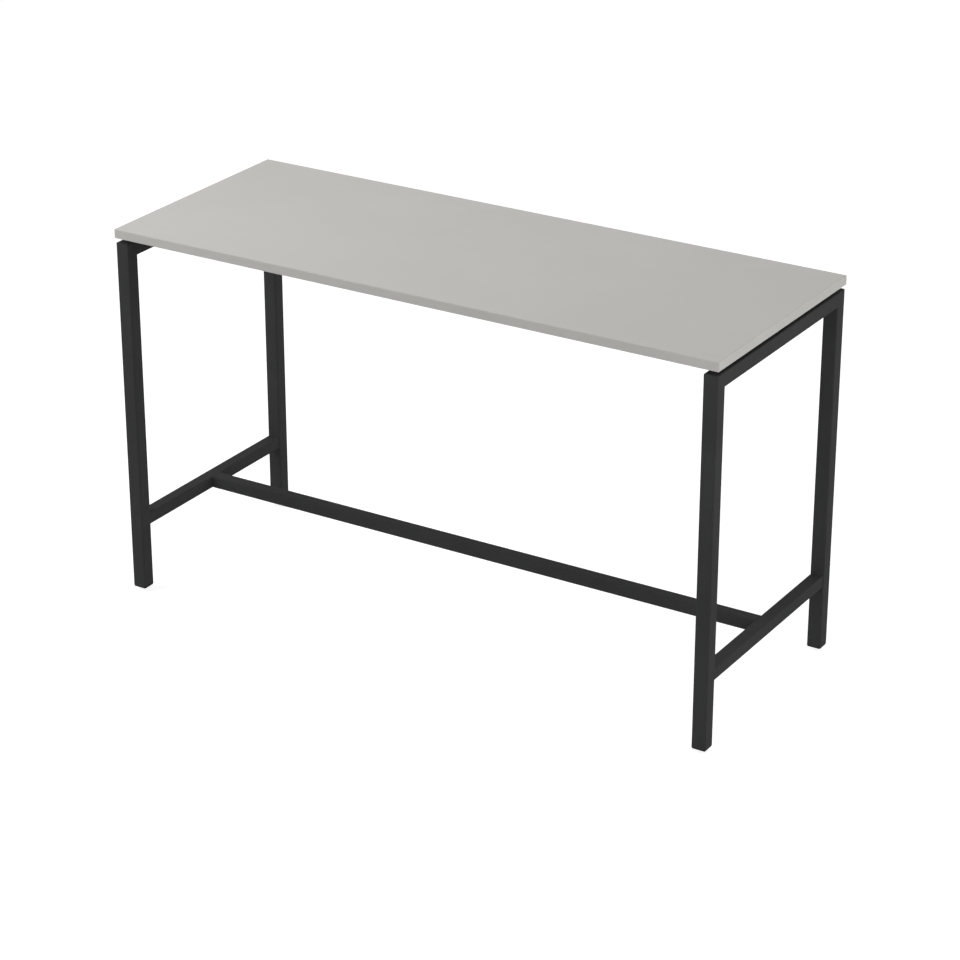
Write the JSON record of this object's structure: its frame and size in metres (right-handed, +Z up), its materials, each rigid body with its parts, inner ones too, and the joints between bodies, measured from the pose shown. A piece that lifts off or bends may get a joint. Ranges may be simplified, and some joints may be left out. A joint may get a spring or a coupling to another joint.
{
  "type": "standing meeting table",
  "caption": "Rectangular standing-height table: flat grey top a shadow gap above two closed square-tube end frames, tied by a central footrest bar.",
  "frame": {"origin": "floor point below the middle of the top", "axes": "+X along the table's length, +Y to its rear, +Z up"},
  "size_m": [1.8, 0.7, 1.05],
  "materials": {
    "board": "matt light warm grey melamine face",
    "edging": "matt light warm grey plastic edging",
    "powder_coat": "matt fine-textured anthracite powder coat on steel tube",
    "zinc": "bright zinc plating",
    "black_zinc": "black zinc plating",
    "black_plastic": "matt black moulded plastic"
  },
  "bodies": {
    "table": {"top_board": "board", "front_edge_strip": "edging", "rear_edge_strip": "edging", "left_edge_strip": "edging", "right_edge_strip": "edging", "front_left_leg": "powder_coat", "front_right_leg": "powder_coat", "rear_left_leg": "powder_coat", "rear_right_leg": "powder_coat", "left_top_rail": "powder_coat", "right_top_rail": "powder_coat", "left_crossbar": "powder_coat", "right_crossbar": "powder_coat", "footrest_bar": "powder_coat", "front_beam": "powder_coat", "rear_beam": "powder_coat", "front_left_beam_plate": "powder_coat", "front_right_beam_plate": "powder_coat", "rear_left_beam_plate": "powder_coat", "rear_right_beam_plate": "powder_coat", "left_spigot": "powder_coat", "right_spigot": "powder_coat", "board_inserts": "zinc", "rivet_nuts": "zinc", "spigot_nuts": "zinc", "front_left_foot_nut": "zinc", "front_right_foot_nut": "zinc", "rear_left_foot_nut": "zinc", "rear_right_foot_nut": "zinc", "rail_screws": "black_zinc", "beam_screws": "black_zinc", "board_washers": "black_zinc", "beam_bolts": "black_zinc", "beam_washers": "black_zinc", "footrest_screws": "black_zinc", "board_spacers": "black_plastic", "front_left_plug": "black_plastic", "front_right_plug": "black_plastic", "rear_left_plug": "black_plastic", "rear_right_plug": "black_plastic"},
    "front_left_pad": {"front_left_foot_pad": "black_plastic"},
    "front_left_stud": {"front_left_foot_stud": "zinc"},
    "front_right_pad": {"front_right_foot_pad": "black_plastic"},
    "front_right_stud": {"front_right_foot_stud": "zinc"},
    "rear_left_pad": {"rear_left_foot_pad": "black_plastic"},
    "rear_left_stud": {"rear_left_foot_stud": "zinc"},
    "rear_right_pad": {"rear_right_foot_pad": "black_plastic"},
    "rear_right_stud": {"rear_right_foot_stud": "zinc"}
  },
  "joints": [
    {"name": "front_left_foot_lift", "type": "slide", "parent": "table", "child": "front_left_pad", "axis": [0, 0, -1], "range_m": [0, 0.01]},
    {"name": "front_left_foot_screw", "type": "hinge", "parent": "front_left_pad", "child": "front_left_stud", "pos_m": [-0.878, -0.328, 0.017], "axis": [0, 0, -1], "range_deg": [0, 2880]},
    {"name": "front_right_foot_lift", "type": "slide", "parent": "table", "child": "front_right_pad", "axis": [0, 0, -1], "range_m": [0, 0.01]},
    {"name": "front_right_foot_screw", "type": "hinge", "parent": "front_right_pad", "child": "front_right_stud", "pos_m": [0.878, -0.328, 0.017], "axis": [0, 0, -1], "range_deg": [0, 2880]},
    {"name": "rear_left_foot_lift", "type": "slide", "parent": "table", "child": "rear_left_pad", "axis": [0, 0, -1], "range_m": [0, 0.01]},
    {"name": "rear_left_foot_screw", "type": "hinge", "parent": "rear_left_pad", "child": "rear_left_stud", "pos_m": [-0.878, 0.328, 0.017], "axis": [0, 0, -1], "range_deg": [0, 2880]},
    {"name": "rear_right_foot_lift", "type": "slide", "parent": "table", "child": "rear_right_pad", "axis": [0, 0, -1], "range_m": [0, 0.01]},
    {"name": "rear_right_foot_screw", "type": "hinge", "parent": "rear_right_pad", "child": "rear_right_stud", "pos_m": [0.878, 0.328, 0.017], "axis": [0, 0, -1], "range_deg": [0, 2880]}
  ],
  "couplings": [
    {"joint": "front_left_foot_lift", "follows": "front_left_foot_screw", "m_per_rad": 0.00019894},
    {"joint": "front_right_foot_lift", "follows": "front_right_foot_screw", "m_per_rad": 0.00019894},
    {"joint": "rear_left_foot_lift", "follows": "rear_left_foot_screw", "m_per_rad": 0.00019894},
    {"joint": "rear_right_foot_lift", "follows": "rear_right_foot_screw", "m_per_rad": 0.00019894}
  ]
}
